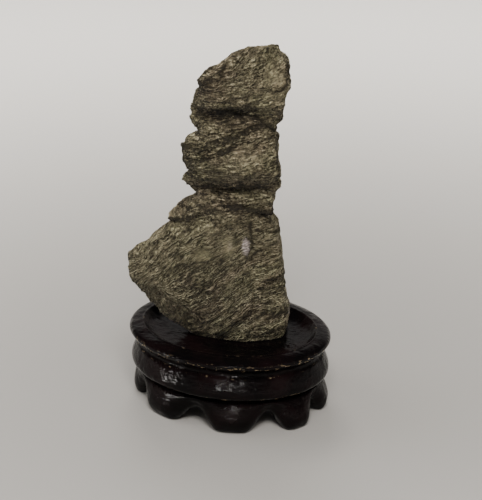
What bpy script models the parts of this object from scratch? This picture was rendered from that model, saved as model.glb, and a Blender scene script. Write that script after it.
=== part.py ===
"""A scholar's rock resting in its carved oval wooden stand.

Lengths are in millimetres until a mesh is made, where they become metres. +Z is up, +X runs along the
stand's long side and -Y is its front. The origin is on the ground under the middle of the stand.
"""

import math

import bpy
import numpy as np

MM = 0.001
NEVER = 1e-6

# Stand: an oval, so every ring is an ellipse whose two half axes grow or shrink together.
RIM_HALF_LENGTH = 57.5
RIM_HALF_DEPTH = 43.9
FLOOR_HEIGHT = 41.0
PANEL_HEIGHT = 13.0
ARCH_HEIGHT = 11.0
ARCH_SPAN = (0.36, 0.97)
APRON_TOP = 19.4
VALLEY_DEPTH = 4.5
STEPS_PER_LOBE = 10
# The apron's nine uneven lobes: (where each starts, where its foot is lowest, how far its foot stands out),
# the first two in degrees of the way round from +X. Each ends where the next one starts.
LOBES = (
    (-11, 5, 0.3),
    (21, 42, -0.5),
    (63, 83, 0.0),
    (104, 123, 0.5),
    (142, 158, 0.0),
    (176, 193, -0.5),
    (211, 232, -0.5),
    (263, 286.5, 0.0),
    (313, 331, 2.0),
)

# (step out from the rim's ellipse, height), from the middle of the dish over the rim and down to the apron.
DISH_TO_APRON = (
    (-26.0, 41.0),
    (-16.0, 41.0),
    (-11.6, 42.0),
    (-8.4, 45.0),
    (-7.4, 45.7),
    (-4.6, 45.4),
    (-1.4, 44.6),
    (0.1, 43.4),
    (0.3, 41.8),
    (-0.9, 39.8),
    (-3.7, 37.6),
    (-4.6, 35.6),
    (-3.6, 33.7),
    (-1.9, 30.4),
    (-0.5, 26.6),
    (-0.2, 24.0),
    (-0.9, 21.9),
    (-3.2, 20.7),
    (-6.4, 20.2),
)
# (step out, height as a share of the way from the foot to the apron's top), on a lobe's middle.
APRON_TO_FOOT = (
    (-6.0, 1.0),
    (-3.3, 0.87),
    (-1.4, 0.62),
    (-0.4, 0.32),
    (-3.6, 0.0),
)
# (step out, height) under the stand, from the foot's inner edge to the panel.
FOOT_INNER_STEP = -11.0
PANEL_STEPS = (-12.5, -28.0)

# Stone: eight ribs run up it. At each height a smooth closed curve through them is the stone's outline.
# u is across the stone's broad face, v is its depth (the front is negative). The face is turned on the stand
# by STONE_TURN, and the stone's middle is at STONE_PLACE.
STONE_TURN = math.radians(18.5)
STONE_PLACE = (-1.1, 2.1)
SEAT_GAP = 0.3
STONE_FOOT = FLOOR_HEIGHT + SEAT_GAP
STONE_TOP = 203.2
CROWN_RISE = 0.3
CRISPNESS = 0.45

# Each rib: (height, u, v).
LEFT = (
    (41, -22.5, -2), (44.7, -25, -3), (47.3, -28.7, -3), (50.2, -33.2, -3), (54.5, -38.2, -3),
    (59.6, -42, -3), (62.8, -45, -3), (68, -48.7, -3), (73, -53, -3), (78, -54.8, -3), (89.4, -54.6, -3),
    (93.9, -50.9, -3), (96.6, -45.4, -3), (101.4, -41.4, -3), (105.5, -35.6, -3), (109.6, -29.2, -3),
    (110.6, -31.2, -3), (112.8, -32, -3), (116.8, -28.5, -3), (120.8, -23.4, -3), (122.8, -18.5, -2),
    (123.4, -16.4, -2), (124.8, -17.1, -2), (127.6, -19.9, -2), (131.5, -23.2, -3), (133.9, -24.2, -3),
    (138.3, -20.8, -3), (141.2, -23.6, -3), (143.2, -20.8, -3), (145.6, -23.1, -3), (147.6, -22, -3),
    (150, -24.4, -3), (153, -22.7, -3), (155.3, -22.6, -3), (157.2, -20.8, -3), (158.6, -16.2, -2), (160, -15.4, -2),
    (161.9, -16.6, -2), (163.8, -19, -3), (166.2, -20.1, -3), (169.7, -18.9, -3), (173, -19.3, -3),
    (175.3, -17.7, -3), (179.2, -17.4, -3), (183, -15.6, -3), (186.3, -14.7, -3), (189.2, -14.3, -3),
    (192.9, -9.7, -3), (195.1, -5.1, -3), (198.1, -0.1, -3), (200.5, 4.3, -3), (202.4, 8.3, -2),
    (203.2, 12.5, -2),
)
FRONT_LEFT = (
    (41, -17, -8.4), (50, -28, -9), (60, -37, -10), (70, -44.5, -10.5), (80, -48.5, -10.5), (90, -46, -11),
    (100, -33, -12.5), (108, -20, -13), (111, -21, -10.5), (117, -18, -12.5), (122, -14, -13),
    (126, -11, -10), (129, -12, -5.6), (133, -16, -9), (137, -15, -13), (145, -17, -13), (150, -18, -11.5),
    (155, -16, -12), (159, -12, -12.5), (163, -11, -10.5), (166, -13, -8.5), (169, -12, -5.5),
    (171.5, -12, -5.5), (173.5, -11.5, -9), (175, -11, -12.5), (180, -10, -13.5), (186, -8, -13), (191, -4, -11.5),
    (196, 1, -9.5), (200, 5, -7.5), (203.2, 11, -4),
)
FRONT = (
    (41, 8, -16.3), (46, 8, -17.5), (60, 6, -19.5), (75, 4, -20.5), (90, 4, -19.5), (105, 4, -17),
    (116, 4, -15.5), (120, 4, -15), (121.5, 4, -13.6), (123, 4, -15), (126, 4, -13.5), (128.5, 4, -8),
    (131, 4, -7.5), (134, 5, -13.5), (137, 6, -17), (142, 8, -19), (149, 9, -19.5), (155, 8, -17),
    (158, 7, -15.5), (162, 6, -12.5), (166.5, 5, -9), (169.5, 5, -6.5), (172.5, 6, -6.5),
    (174.5, 6.5, -10), (176, 7, -13),
    (179, 8, -15.5), (185, 10, -17.5), (192, 12, -17), (198, 13, -14), (201, 14, -10.5), (203.2, 15, -5),
)
FRONT_RIGHT = (
    (41, 29, -11.5), (50, 30, -12.5), (60, 30.5, -12), (75, 28.5, -12.5), (90, 27, -13),
    (105, 25.5, -12.5), (111, 22.5, -11.5), (116, 20.5, -10), (119, 22, -11), (124, 22.5, -10.5),
    (128, 20, -7), (131, 20, -7.5), (135, 23, -12), (140, 25, -13), (150, 24.5, -13), (158, 23.5, -12),
    (163, 21.5, -9.5), (167, 22.5, -10), (170, 25, -10.5), (175, 27.5, -11.5), (183, 29.5, -12),
    (192, 30, -11), (198, 28.5, -9.5), (201, 26, -7.5), (203.2, 22, -4),
)
RIGHT = (
    (41, 32.5, 2), (50.6, 34.2, 2), (57, 34.1, 2), (63.5, 32.2, 2), (66.3, 30.2, 2), (72, 29.3, 2),
    (78.4, 30.5, 2), (82.5, 30.2, 2), (88.1, 29.6, 2), (96.4, 28.8, 2), (108, 27.4, 2), (112, 23, 2),
    (115.8, 21.9, 2), (119, 23.9, 2), (124.1, 25.1, 2), (126.6, 28, 2), (131.5, 28.6, 2), (138.9, 28.3, 2),
    (146.2, 26.3, 2), (156.8, 25.7, 2), (159.8, 25.4, 2), (161.4, 22.6, 2), (162.6, 27.3, 2),
    (165.2, 29.3, 2), (169.1, 29.7, 2), (178.8, 29.3, 2), (182.6, 32.1, 2), (187.5, 32.7, 2),
    (193.2, 32.1, 2), (198.3, 31.6, 2), (199.6, 30.2, 2), (200.9, 27.8, 1), (203.2, 25.6, 0),
)
BACK_RIGHT = (
    (41, 26, 13), (60, 28, 15), (80, 26, 16), (95, 24, 15), (108, 22, 12), (115, 19, 9), (119, 20, 10),
    (125, 22, 10), (129, 19, 8), (134, 22, 10), (142, 23, 13), (150, 22, 12), (158, 20, 9), (163, 18, 7),
    (168, 23, 9), (178, 26, 11), (188, 27, 11), (197, 25, 7), (201, 22, 4), (203.2, 20, 2),
)
BACK = (
    (41, 2, 17), (50, 1, 19.5), (65, -2, 22.5), (80, -4, 23), (95, -2, 20.5), (107, 0, 16.5),
    (113, 1, 13.5), (118, 2, 12), (122, 2, 15), (126, 3, 14), (130, 3, 10.5), (135, 3, 14.5), (144, 3, 18),
    (152, 3, 16.5), (159, 3, 12), (164, 4, 9.5), (169, 6, 11.5), (176, 7, 15), (186, 9, 16.5),
    (194, 12, 12), (200, 15, 6.5), (203.2, 16, 2),
)
BACK_LEFT = (
    (41, -15, 9), (50, -20, 11), (60, -28, 12.5), (70, -36, 12.5), (80, -40, 12), (90, -37, 11.5),
    (100, -27, 12), (108, -19, 10.5), (113, -21, 7.5), (118, -16, 9), (123, -13, 10.5), (127, -10, 7.5),
    (130, -12, 7), (135, -16, 9.5), (139, -13, 9), (145, -16, 11.5), (152, -16, 11), (158, -12, 8.5),
    (162, -10, 6.5), (166, -12, 8), (170, -11, 6.5), (176, -10, 10), (184, -8, 11.5), (190, -4, 9.5),
    (195, 2, 6.5), (199, 6, 5), (203.2, 11, 1),
)
RIBS = (BACK, BACK_LEFT, LEFT, FRONT_LEFT, FRONT, FRONT_RIGHT, RIGHT, BACK_RIGHT)

# Grooves: (side of the stone, half width, depth, points (u, height)).
FACE = -1
REAR = 1
GROOVES = (
    (FACE, 1.1, 2.2, ((-15.6, 185.6), (-11, 187.8), (-5.4, 192.3), (1.8, 198.2), (6, 202.9))),
    (FACE, 1.0, 1.0, ((-14.6, 180.9), (-9.9, 185.2))),
    (FACE, 1.0, 1.5, ((9.6, 172.3), (15.1, 171.1), (20.7, 167.4), (24.3, 163.2))),
    (FACE, 1.1, 1.8, ((-25, 151.5), (-18.2, 152.4), (-13.6, 152.9), (-7.2, 156.4), (3.9, 159.6),
                      (8.4, 161.6), (12.9, 163.6), (18.4, 164.7))),
    (FACE, 1.0, 1.5, ((-24, 145.2), (-16.1, 146), (-10.2, 148.5), (-0.5, 153.1), (3.9, 155.3))),
    (FACE, 0.9, 1.6, ((-31.1, 110.9), (-20.2, 114.5))),
    (FACE, 0.9, 1.8, ((24.7, 117.2), (14.7, 119.4), (0.7, 121.2))),
    (FACE, 0.9, 1.3, ((15.2, 61.7), (8.3, 60.3), (4.7, 57.1), (-0.4, 50.5), (-5.6, 44.8))),
    (REAR, 1.1, 2.0, ((-20, 178), (-4, 181), (10, 188), (24, 191))),
    (REAR, 1.1, 1.8, ((-25, 143), (-10, 146), (4, 151), (18, 152), (28, 156))),
    (REAR, 1.0, 1.6, ((-32, 111), (-16, 116), (2, 118))),
    (REAR, 1.0, 1.5, ((-50, 72), (-30, 82), (-12, 86), (6, 97), (20, 101))),
    (REAR, 1.0, 1.5, ((-28, 52), (-10, 58), (8, 60), (32, 68))),
)

# Layers: their spacing, how far each stands out, and how steeply they climb towards the right.
LAYER_SPACING = 5.5
LAYER_RELIEF = 0.9
BASE_CLIMB = 0.62
UPPER_CLIMB = 0.26
CLIMB_CHANGES = (112.0, 130.0)
LUMP_RELIEF = 1.1
FOOT_FADE = 4.0
# A knob on the crown's right corner: (u, v), its rise, its radius, and the heights over which it fades in.
KNOB_PLACE = (23.0, -1.0)
KNOB_RISE = 1.6
KNOB_RADIUS = 3.0
KNOB_HEIGHTS = (198.0, 203.0)
NOISE_SEED = 11

STONE_COLUMNS = 170
STONE_ROWS = 210
STONE_SHARE_KEPT = 0.076


def clear_scene():
    for thing in list(bpy.data.objects):
        bpy.data.objects.remove(thing, do_unlink=True)


def smooth_step(x, low, high):
    t = np.clip((x - low) / (high - low), 0, 1)
    return t * t * (3 - 2 * t)


# ---- noise -------------------------------------------------------------------------------------------------


def noise_tables():
    chance = np.random.default_rng(NOISE_SEED)
    order = chance.permutation(256)
    arrows = chance.normal(size=(256, 3))
    return order, arrows / np.linalg.norm(arrows, axis=1)[:, None]


ORDER, ARROWS = noise_tables()


def noise(points):
    """Smooth noise between about -0.7 and 0.7, whose lumps are one unit across."""
    cell = np.floor(points).astype(int)
    inside = points - cell
    blend = inside ** 3 * (inside * (inside * 6 - 15) + 10)
    total = 0
    for dx in (0, 1):
        for dy in (0, 1):
            for dz in (0, 1):
                x, y, z = cell[..., 0] + dx, cell[..., 1] + dy, cell[..., 2] + dz
                pick = ORDER[(ORDER[(ORDER[x & 255] + y) & 255] + z) & 255]
                reach = inside - np.array((dx, dy, dz))
                share = np.prod(np.where((dx, dy, dz), blend, 1 - blend), axis=-1)
                total = total + share * (ARROWS[pick] * reach).sum(-1)
    return total


# ---- stone -------------------------------------------------------------------------------------------------


def rib_points(rib, heights):
    table = np.array(rib, float)
    u = np.interp(heights, table[:, 0], table[:, 1])
    v = np.interp(heights, table[:, 0], table[:, 2])
    return np.stack((u, v), axis=-1)


def outline_at(corners, count):
    """count points, evenly spaced, on a closed curve through the corners (given for every height)."""
    steps = np.linspace(0, 1, 16, endpoint=False)[None, :, None]
    pieces = []
    for k in range(len(RIBS)):
        a, b, c, d = (corners[:, (k + j) % len(RIBS)][:, None] for j in (-1, 0, 1, 2))
        curve = b + steps / 2 * (c - a + steps * (2 * a - 5 * b + 4 * c - d + steps * (3 * (b - c) + d - a)))
        straight = b + steps * (c - b)
        pieces.append(CRISPNESS * straight + (1 - CRISPNESS) * curve)
    curve = np.concatenate(pieces, axis=1)
    closed = np.concatenate((curve, curve[:, :1]), axis=1)
    run = np.linalg.norm(np.diff(closed, axis=1), axis=2)
    rows = []
    for line, lengths in zip(closed, run):
        way = np.concatenate(((0,), np.cumsum(lengths)))
        stops = np.linspace(0, way[-1], count, endpoint=False)
        rows.append(np.stack((np.interp(stops, way, line[:, 0]), np.interp(stops, way, line[:, 1])), axis=-1))
    return np.array(rows)


def level_heights(count):
    """Heights up the stone, closer together where its ribs move in or out quickly."""
    fine = np.linspace(STONE_FOOT, STONE_TOP, 1600)
    ribs = np.stack([rib_points(rib, fine) for rib in RIBS], axis=1)
    sideways = np.abs(np.diff(ribs, axis=0)).sum(2).mean(1)
    travel = np.concatenate(((0,), np.cumsum(np.hypot(np.diff(fine), sideways))))
    return np.interp(np.linspace(0, travel[-1], count), travel, fine)


def groove_depth(u, v, z):
    """How deep the named grooves cut at each point."""
    depth = np.zeros_like(u)
    for side, half_width, most, points in GROOVES:
        near = np.full_like(u, np.inf)
        for (u0, z0), (u1, z1) in zip(points, points[1:]):
            du, dz = u1 - u0, z1 - z0
            along = np.clip(((u - u0) * du + (z - z0) * dz) / (du * du + dz * dz), 0, 1)
            near = np.minimum(near, np.hypot(u - u0 - along * du, z - z0 - along * dz))
        facing = smooth_step(v * side, 0, 4)
        depth = np.maximum(depth, most * facing * np.exp(-((near / half_width) ** 2)))
    return depth


def relief(points):
    """How far the stone's surface stands out of, or sinks into, its smooth outline."""
    u, v, z = points[..., 0], points[..., 1], points[..., 2]
    climb = BASE_CLIMB + (UPPER_CLIMB - BASE_CLIMB) * smooth_step(z, *CLIMB_CHANGES)
    bend = noise(points / 22) * 1.6
    layer = (z - climb * u) / LAYER_SPACING + bend
    along = np.stack((u / 14, v / 14, layer), axis=-1)
    ledge = noise(along * 0.9) * 1.6
    saw = layer - np.floor(layer)
    tread = np.minimum(saw / 0.75, (1 - saw) / 0.25)
    out = LAYER_RELIEF * (ledge + (tread - 0.5) * (0.6 + noise(along / 2)))
    out += LUMP_RELIEF * noise(points / 11 + 40)
    return out - groove_depth(u, v, z)


def surface_normals(grid):
    """Outward directions on a grid of rings (rows go up, columns go round)."""
    around = np.roll(grid, -1, axis=1) - np.roll(grid, 1, axis=1)
    upward = np.gradient(grid, axis=0)
    normal = np.cross(upward, around)
    return normal / np.maximum(np.linalg.norm(normal, axis=2), NEVER)[..., None]


def stone_grid(rows, columns):
    heights = level_heights(rows)
    corners = np.stack([rib_points(rib, heights) for rib in RIBS], axis=1)
    rings = outline_at(corners, columns)
    grid = np.concatenate((rings, np.broadcast_to(heights[:, None, None], rings.shape[:2] + (1,))), axis=2)
    fade = smooth_step(grid[..., 2], STONE_FOOT, STONE_FOOT + FOOT_FADE)
    grid += surface_normals(grid) * (relief(grid) * fade)[..., None]
    from_knob = np.hypot(grid[..., 0] - KNOB_PLACE[0], grid[..., 1] - KNOB_PLACE[1])
    knob = KNOB_RISE * np.exp(-((from_knob / KNOB_RADIUS) ** 2))
    grid[..., 2] += knob * smooth_step(grid[..., 2], *KNOB_HEIGHTS)
    grid[0, :, 2] = STONE_FOOT
    return grid


def on_stand(points):
    """Points given across, behind and above the stone's own middle, turned and placed on the stand."""
    x = points[..., 0] * math.cos(STONE_TURN) - points[..., 1] * math.sin(STONE_TURN)
    y = points[..., 0] * math.sin(STONE_TURN) + points[..., 1] * math.cos(STONE_TURN)
    return np.stack((x + STONE_PLACE[0], y + STONE_PLACE[1], points[..., 2]), axis=-1)


def ring_faces(rings, columns):
    faces = []
    for row in range(rings - 1):
        for k in range(columns):
            right = (k + 1) % columns
            low, high = row * columns, (row + 1) * columns
            faces.append((low + k, low + right, high + right, high + k))
    return faces


def make_object(name, points, faces, material):
    mesh = bpy.data.meshes.new(name)
    mesh.from_pydata((points * MM).tolist(), [], faces)
    mesh.validate()
    mesh.materials.append(material)
    made = bpy.data.objects.new(name, mesh)
    bpy.context.scene.collection.objects.link(made)
    return made


def make_stone():
    grid = stone_grid(STONE_ROWS, STONE_COLUMNS)
    points = on_stand(grid).reshape(-1, 3)
    faces = ring_faces(STONE_ROWS, STONE_COLUMNS)
    foot = points[:STONE_COLUMNS].mean(0)
    crown = points[-STONE_COLUMNS:].mean(0) + (0, 0, CROWN_RISE)
    points = np.concatenate((points, foot[None], crown[None]))
    last = (STONE_ROWS - 1) * STONE_COLUMNS
    for k in range(STONE_COLUMNS):
        right = (k + 1) % STONE_COLUMNS
        faces.append((right, k, len(points) - 2))
        faces.append((last + k, last + right, len(points) - 1))
    made = make_object("stone", points, faces, plain_material("stone grey", (0.15, 0.14, 0.10), 0.9))
    facets = made.modifiers.new("facets", "DECIMATE")
    facets.ratio = STONE_SHARE_KEPT
    facets.use_collapse_triangulate = True
    return made


# ---- stand -------------------------------------------------------------------------------------------------


def ellipse_point(step, angle, height):
    x = (RIM_HALF_LENGTH + step) * math.cos(angle)
    y = (RIM_HALF_DEPTH + step) * math.sin(angle)
    return x, y, height


def foot_columns():
    """For each column: (angle on the ellipse, place across its lobe from -1 by 0 at the foot to 1, reach)."""
    fine = np.linspace(-math.pi / 2, 2.5 * math.pi, 4801)
    run = np.hypot(RIM_HALF_LENGTH * np.sin(fine), RIM_HALF_DEPTH * np.cos(fine))
    way = np.concatenate(((0,), np.cumsum((run[1:] + run[:-1]) / 2)))
    turn = way[np.searchsorted(fine, 1.5 * math.pi)]
    way = (way - np.interp(0, fine, way)) / turn * 360
    ends = [lobe[0] for lobe in LOBES[1:]] + [LOBES[0][0] + 360]
    columns = []
    for (start, lowest, reach), end in zip(LOBES, ends):
        for k in range(STEPS_PER_LOBE):
            place = start + (end - start) * k / STEPS_PER_LOBE
            across = float(np.interp(place, (start, lowest, end), (-1, 0, 1)))
            columns.append((float(np.interp(place, way, fine)), across, reach))
    return columns


def stand_column(angle, across, reach):
    """The points down one column of the stand, from the dish to the panel underneath."""
    foot = ARCH_HEIGHT * smooth_step(abs(across), *ARCH_SPAN)
    valley = smooth_step(abs(across), 0.2, 1)
    column = [ellipse_point(step, angle, height) for step, height in DISH_TO_APRON]
    for step, share in APRON_TO_FOOT:
        out = reach * (1 - valley) - VALLEY_DEPTH * valley
        out = out * smooth_step(1 - share, 0, 0.7)
        column.append(ellipse_point(step + out, angle, foot + share * (APRON_TOP - foot)))
    column.append(ellipse_point(FOOT_INNER_STEP, angle, foot))
    column += [ellipse_point(step, angle, PANEL_HEIGHT) for step in PANEL_STEPS]
    return column


def make_stand():
    columns = [stand_column(*place) for place in foot_columns()]
    points = np.array(columns).transpose(1, 0, 2)
    rings, around = points.shape[:2]
    faces = [tuple(reversed(face)) for face in ring_faces(rings, around)]
    last = (rings - 1) * around
    faces.append(tuple(range(around)))
    faces.append(tuple(last + k for k in reversed(range(around))))
    made = make_object("stand", points.reshape(-1, 3), faces, plain_material("lacquered wood", (0.03, 0.01, 0.01), 0.25))
    made.data.shade_smooth()
    made.data.set_sharp_from_angle(angle=math.radians(40))
    return made


def plain_material(name, colour, roughness):
    material = bpy.data.materials.new(name)
    material.use_nodes = True
    shader = material.node_tree.nodes["Principled BSDF"]
    shader.inputs["Base Color"].default_value = (*colour, 1)
    shader.inputs["Roughness"].default_value = roughness
    return material


clear_scene()
make_stone()
make_stand()
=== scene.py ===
"""The looks of a scholar's rock resting in its carved and lacquered stand.

Lengths are in millimetres until a mesh is made, where they become metres. +Z is up, +X runs along the
stand's long side and -Y is its front. On the stone, u is across its broad face, v is its depth (the face
looks towards -v) and z its height; the stone is turned on the stand by STONE_TURN.
"""

import math

import bpy
import numpy as np
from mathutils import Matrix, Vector


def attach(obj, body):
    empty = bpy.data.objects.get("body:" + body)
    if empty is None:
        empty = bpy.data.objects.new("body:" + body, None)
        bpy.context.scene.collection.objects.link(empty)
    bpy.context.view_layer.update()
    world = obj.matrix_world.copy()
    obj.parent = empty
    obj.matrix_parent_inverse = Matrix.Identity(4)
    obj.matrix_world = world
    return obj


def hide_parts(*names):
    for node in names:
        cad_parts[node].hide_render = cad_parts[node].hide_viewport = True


MM = 0.001
# Keeps a divisor from being zero.
TINY = 1e-6

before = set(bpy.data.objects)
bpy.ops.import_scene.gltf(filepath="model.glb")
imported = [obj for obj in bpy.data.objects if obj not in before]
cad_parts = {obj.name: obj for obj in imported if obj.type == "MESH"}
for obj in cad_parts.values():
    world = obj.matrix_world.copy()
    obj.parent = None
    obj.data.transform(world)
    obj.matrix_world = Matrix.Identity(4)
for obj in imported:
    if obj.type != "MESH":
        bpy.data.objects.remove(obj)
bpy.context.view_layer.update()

# ---- where the stone stands and where the camera looks from ----

STONE_TURN = math.radians(18.5)
STONE_PLACE = (-1.1, 2.1)
VIEW_RISE = 24
VIEW_DISTANCE = 660
TARGET_ACROSS = 7.0
TARGET_HEIGHT = 89.8
LENS = 86.4
SENSOR = 36
CLIP_START = 10


def add_object(name, data):
    made = bpy.data.objects.new(name, data)
    bpy.context.scene.collection.objects.link(made)
    return made


def from_view(turn, rise):
    """The direction from the object to something turn degrees right of the camera and rise degrees up."""
    around = STONE_TURN + math.radians(turn)
    level = math.cos(math.radians(rise))
    return Vector((math.sin(around) * level, -math.cos(around) * level, math.sin(math.radians(rise))))


def make_camera():
    across = Vector((math.cos(STONE_TURN), math.sin(STONE_TURN), 0))
    towards = from_view(0, VIEW_RISE)
    target = across * TARGET_ACROSS + Vector((*STONE_PLACE, TARGET_HEIGHT))
    data = bpy.data.cameras.new("camera")
    data.lens = LENS
    data.sensor_width = SENSOR
    data.clip_start = CLIP_START * MM
    camera = add_object("camera", data)
    camera.location = (target + towards * VIEW_DISTANCE) * MM
    camera.rotation_euler = towards.to_track_quat("Z", "Y").to_euler()
    bpy.context.scene.camera = camera


# ---- shared helpers ----


def smooth_step(x, low, high):
    t = np.clip((x - low) / (high - low), 0, 1)
    return t * t * (3 - 2 * t)


NOISE_SEED = 11
TABLE_SIZE = 256
# How far a flake's centre may lie from the middle of its cell.
FLAKE_SPREAD = 0.42


def noise_tables():
    chance = np.random.default_rng(NOISE_SEED)
    order = chance.permutation(TABLE_SIZE)
    arrows = chance.normal(size=(TABLE_SIZE, 3))
    return order, arrows / np.linalg.norm(arrows, axis=1)[:, None]


def flake_tables():
    chance = np.random.default_rng(NOISE_SEED + 1)
    centres = chance.uniform(-FLAKE_SPREAD, FLAKE_SPREAD, (TABLE_SIZE, 3))
    return centres, chance.uniform(-1, 1, TABLE_SIZE), chance.normal(size=(TABLE_SIZE, 3))


ORDER, ARROWS = noise_tables()
FLAKE_CENTRES, FLAKE_LIFTS, FLAKE_TILTS = flake_tables()


def table_row(x, y, z):
    """The row of the tables that belongs to each cell of space."""
    return ORDER[(ORDER[(ORDER[x % TABLE_SIZE] + y) % TABLE_SIZE] + z) % TABLE_SIZE]


def noise(points):
    """Smooth noise between about -0.7 and 0.7, whose lumps are one unit across.

    Callers add a number of their own to the points, so that no two noises line up.
    """
    cell = np.floor(points).astype(int)
    inside = points - cell
    blend = inside ** 3 * (inside * (inside * 6 - 15) + 10)
    total = 0
    for dx in (0, 1):
        for dy in (0, 1):
            for dz in (0, 1):
                pick = table_row(cell[..., 0] + dx, cell[..., 1] + dy, cell[..., 2] + dz)
                reach = inside - np.array((dx, dy, dz))
                share = np.prod(np.where((dx, dy, dz), blend, 1 - blend), axis=-1)
                total = total + share * (ARROWS[pick] * reach).sum(-1)
    return total


def noises(points, shifts):
    """One noise for each shift, side by side."""
    return np.stack([noise(points + shift) for shift in shifts], axis=-1)


def mixed_noise(points, parts):
    """The sum of several noises, each given as (size, amount, shift)."""
    return sum(amount * noise(points / size + shift) for size, amount, shift in parts)


def flakes(points, shift):
    """Angular flakes one unit across: how far inside its flake each point is, and how far it is lifted."""
    points = points + shift
    cell = np.floor(points).astype(int)
    first = np.full(points.shape[:-1], np.inf)
    second = first.copy()
    lift = np.zeros_like(first)
    for offset in np.ndindex(3, 3, 3):
        pick = table_row(*np.moveaxis(cell + offset - 1, -1, 0))
        away = points - (cell + offset - 0.5 + FLAKE_CENTRES[pick])
        distance = np.linalg.norm(away, axis=-1)
        nearer = distance < first
        second = np.where(nearer, first, np.minimum(second, distance))
        lift = np.where(nearer, FLAKE_LIFTS[pick] + (FLAKE_TILTS[pick] * away).sum(-1), lift)
        first = np.minimum(first, distance)
    return second - first, lift


def ring_faces(rings, columns):
    faces = []
    for row in range(rings - 1):
        for k in range(columns):
            right = (k + 1) % columns
            low, high = row * columns, (row + 1) * columns
            faces.append((low + k, low + right, high + right, high + k))
    return faces


def surface_normals(grid):
    """Outward directions on a grid of rings (rows go up, columns go round)."""
    around = np.roll(grid, -1, axis=1) - np.roll(grid, 1, axis=1)
    upward = np.gradient(grid, axis=0)
    normal = np.cross(upward, around)
    return normal / np.maximum(np.linalg.norm(normal, axis=2), TINY)[..., None]


def on_stand(points):
    """Points given across, behind and above the stone's own middle, turned and placed on the stand."""
    x = points[..., 0] * math.cos(STONE_TURN) - points[..., 1] * math.sin(STONE_TURN)
    y = points[..., 0] * math.sin(STONE_TURN) + points[..., 1] * math.cos(STONE_TURN)
    return np.stack((x + STONE_PLACE[0], y + STONE_PLACE[1], points[..., 2]), axis=-1)


def add_mesh(name, points, faces, material):
    mesh = bpy.data.meshes.new(name)
    mesh.from_pydata((points * MM).tolist(), [], faces)
    mesh.materials.append(material)
    mesh.shade_smooth()
    return add_object(name, mesh)


def store(mesh, name, values):
    """Keep one number, or one vector, for each point of the mesh."""
    kind, field = ("FLOAT", "value") if values.ndim == 1 else ("FLOAT_VECTOR", "vector")
    kept = mesh.attributes.new(name, kind, "POINT")
    kept.data.foreach_set(field, values.astype(np.float32).ravel())


# ---- material helpers ----

# The mix node's sockets for two colours and the mixed one.
MIX_COLOURS = (6, 7)
MIX_RESULT = 2


class Nodes:
    """A material's node tree, with short calls for the nodes used here."""

    def __init__(self, name):
        self.material = bpy.data.materials.new(name)
        self.material.use_nodes = True
        self.tree = self.material.node_tree
        self.shader = self.tree.nodes["Principled BSDF"]

    def new(self, kind):
        return self.tree.nodes.new("ShaderNode" + kind)

    def link(self, source, target):
        if isinstance(source, (int, float)):
            target.default_value = source
        else:
            self.tree.links.new(source, target)

    def attribute(self, name, output="Fac"):
        node = self.new("Attribute")
        node.attribute_name = name
        return node.outputs[output]

    def place(self):
        return self.new("TexCoord").outputs["Object"]

    def scaled(self, vector, scale):
        node = self.new("VectorMath")
        node.operation = "MULTIPLY"
        self.link(vector, node.inputs[0])
        node.inputs[1].default_value = scale
        return node.outputs[0]

    def noise(self, vector, scale, detail, roughness, distortion=0.0):
        """scale: one number, or one for each direction."""
        if isinstance(scale, tuple):
            vector = self.scaled(vector, scale)
            scale = 1.0
        node = self.new("TexNoise")
        self.link(vector, node.inputs["Vector"])
        settings = {"Scale": scale, "Detail": detail, "Roughness": roughness, "Distortion": distortion}
        for name, value in settings.items():
            node.inputs[name].default_value = value
        return node.outputs["Fac"]

    def upward(self, vector):
        node = self.new("SeparateXYZ")
        self.link(vector, node.inputs[0])
        return node.outputs[2]

    def maths(self, operation, a, b=0.0, c=0.0):
        node = self.new("Math")
        node.operation = operation
        for value, socket in zip((a, b, c), node.inputs):
            self.link(value, socket)
        return node.outputs[0]

    def add(self, total, value, share):
        """total + value * share."""
        return self.maths("MULTIPLY_ADD", value, share, total)

    def ramp(self, value, stops):
        """stops: (place, colour or grey level) pairs."""
        node = self.new("ValToRGB")
        self.link(value, node.inputs["Fac"])
        elements = node.color_ramp.elements
        while len(elements) < len(stops):
            elements.new(0.5)
        for element, (place, colour) in zip(elements, stops):
            element.position = place
            element.color = (*colour, 1) if isinstance(colour, tuple) else (colour, colour, colour, 1)
        return node.outputs["Color"]

    def mix(self, share, a, b, blend="MIX"):
        node = self.new("Mix")
        node.data_type = "RGBA"
        node.blend_type = blend
        self.link(share, node.inputs["Factor"])
        for value, place in zip((a, b), MIX_COLOURS):
            if isinstance(value, tuple):
                node.inputs[place].default_value = (*value, 1)
            else:
                self.link(value, node.inputs[place])
        return node.outputs[MIX_RESULT]

    def bump(self, height, distance):
        node = self.new("Bump")
        node.inputs["Distance"].default_value = distance
        node.inputs["Strength"].default_value = 1.0
        self.link(height, node.inputs["Height"])
        return node.outputs["Normal"]


# ---- the stone's material ----

# Noise, here and in the stand's material: (scale, detail, roughness, distortion). A scale is for each metre.
# Here, one of three numbers is along, into and across the layers, for each millimetre.
SWAY_NOISE = ((0.22, 0.22, 0.42), 4, 0.6)
BREAK_NOISE = ((0.16, 0.16, 0.3), 3, 0.6)
STREAK_NOISE = ((0.24, 0.24, 1.45), 4, 0.62, 0.45)
ZONE_NOISE = ((0.045, 0.045, 0.08), 2, 0.5)
CRUMB_NOISE = (760, 4, 0.7)
GRIT_NOISE = (1900, 2, 0.6)
BLOTCH_NOISE = (70, 3, 0.55)
NOISE_MIDDLE = 0.5

# Fine lines along the layers: a saw, steep on its lower side, which noise bends and breaks up.
LINES_PER_MM = 0.72
LINE_SWAY = 4.0
LINE_PROFILE = ((0.0, 0.0), (0.24, 1.0), (0.72, 0.55), (1.0, 0.0))
LINE_MIDDLE = 0.6
LINE_BREAKS = ((0.40, 0.15), (0.60, 1.0))

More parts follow.
